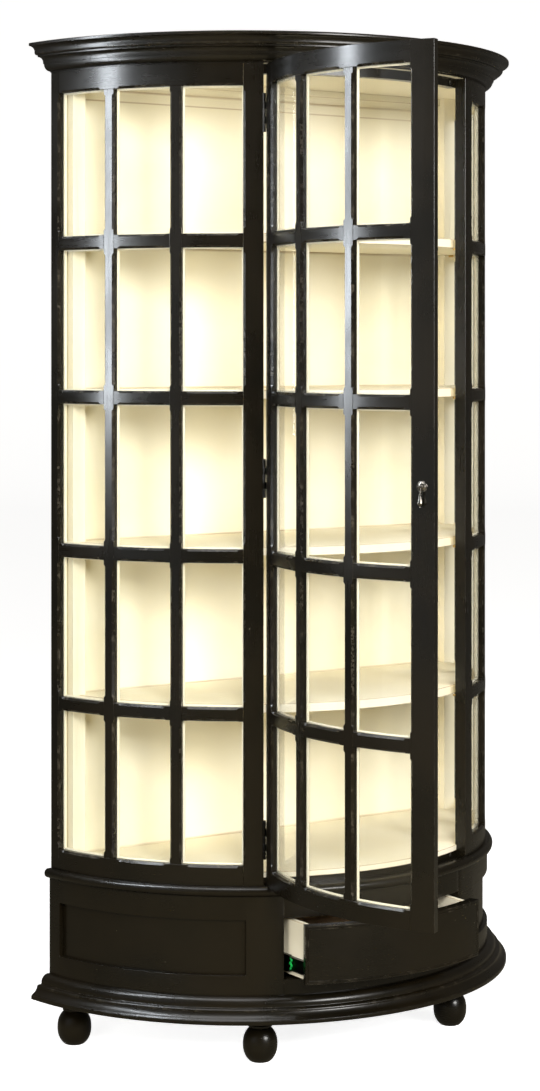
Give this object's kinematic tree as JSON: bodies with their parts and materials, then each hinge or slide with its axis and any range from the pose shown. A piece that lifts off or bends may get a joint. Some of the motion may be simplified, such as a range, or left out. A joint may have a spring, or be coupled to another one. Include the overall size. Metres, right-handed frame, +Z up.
{
  "type": "curio cabinet",
  "caption": "Bow-fronted display cabinet with glazed door and sides, bowed shelves, a base drawer on runners and ball feet.",
  "frame": {"origin": "floor level at the middle of the flat back", "axes": "+X to the viewer's right, -Y out of the bowed front, +Y out of the back, +Z up"},
  "size_m": [1.1942, 0.9266, 2.126],
  "materials": {
    "black_lacquer": "satin rubbed lacquer over wood",
    "cream_paint": "satin paint with brown glaze in the joints",
    "drawer_ply": "sealed plywood",
    "glass": "clear float glass",
    "hinge_metal": "black oxide",
    "runner_steel": "black zinc",
    "lever_plastic": "moulded",
    "pewter": "antique pewter",
    "catch_steel": "plated",
    "pin_brass": "plain"
  },
  "bodies": {
    "cabinet": {"foot_back_left": "black_lacquer", "foot_back_right": "black_lacquer", "foot_front_left": "black_lacquer", "foot_front_right": "black_lacquer", "bottom_board": "black_lacquer", "base_moulding": "black_lacquer", "base_frame_left": "black_lacquer", "base_frame_right": "black_lacquer", "base_panels": "black_lacquer", "base_back": "black_lacquer", "drawer_rail_top": "black_lacquer", "drawer_rail_bottom": "black_lacquer", "drawer_case_sides": "black_lacquer", "waist_board": "black_lacquer", "floor_board": "cream_paint", "sill_rail": "black_lacquer", "corner_posts": "cream_paint", "back_panel": "cream_paint", "back_cove": "cream_paint", "header_rail": "black_lacquer", "ceiling_board": "cream_paint", "cornice": "black_lacquer", "top_board": "black_lacquer", "shelf_1": "cream_paint", "shelf_2": "cream_paint", "shelf_3": "cream_paint", "shelf_4": "cream_paint", "shelf_pins": "pin_brass", "left_frame": "black_lacquer", "left_bars": "black_lacquer", "left_panes": "glass", "right_frame": "black_lacquer", "right_bars": "black_lacquer", "right_panes": "glass", "glazing_beads": "cream_paint", "hinge_frame_leaves": "hinge_metal", "hinge_pins": "hinge_metal", "catch_magnets": "catch_steel", "runner_outer": "runner_steel"},
    "door": {"door_hinge_stile": "black_lacquer", "door_free_stile": "black_lacquer", "door_top_rail": "black_lacquer", "door_bottom_rail": "black_lacquer", "door_bars": "black_lacquer", "door_panes": "glass", "door_beads": "cream_paint", "hinge_door_leaves": "hinge_metal", "catch_discs": "catch_steel", "pull_plate": "pewter"},
    "drop": {"pull_drop": "pewter"},
    "drawer": {"drawer_front": "black_lacquer", "drawer_sides": "cream_paint", "drawer_back": "drawer_ply", "drawer_bottom": "drawer_ply", "runner_inner": "runner_steel"},
    "slides": {"runner_middle": "runner_steel"},
    "lever_left": {"release_lever_left": "lever_plastic"},
    "lever_right": {"release_lever_right": "lever_plastic"}
  },
  "joints": [
    {"name": "door_hinge", "type": "hinge", "parent": "cabinet", "child": "door", "pos_m": [-0.26388, -0.40311, 0.374], "axis": [0, 0, 1], "range_deg": [-24, 86]},
    {"name": "drop_swing", "type": "hinge", "parent": "door", "child": "drop", "pos_m": [-0.24494, -0.90965, 1.216], "axis": [-0.496, 0.8683, 0], "range_deg": [0, 75]},
    {"name": "drawer_slide", "type": "slide", "parent": "cabinet", "child": "drawer", "axis": [0, -1, 0], "range_m": [-0.073, 0.187]},
    {"name": "runner_slide", "type": "slide", "parent": "cabinet", "child": "slides", "axis": [0, -1, 0], "range_m": [-0.0365, 0.0935]},
    {"name": "lever_left_press", "type": "hinge", "parent": "drawer", "child": "lever_left", "pos_m": [-0.20998, -0.418, 0.209], "axis": [1, 0, 0], "range_deg": [0, 8], "stiffness_Nm_per_rad": 0.05},
    {"name": "lever_right_press", "type": "hinge", "parent": "drawer", "child": "lever_right", "pos_m": [0.20998, -0.418, 0.209], "axis": [1, 0, 0], "range_deg": [0, 8], "stiffness_Nm_per_rad": 0.05}
  ],
  "couplings": [
    {"joint": "runner_slide", "follows": "drawer_slide", "ratio": 0.5}
  ]
}
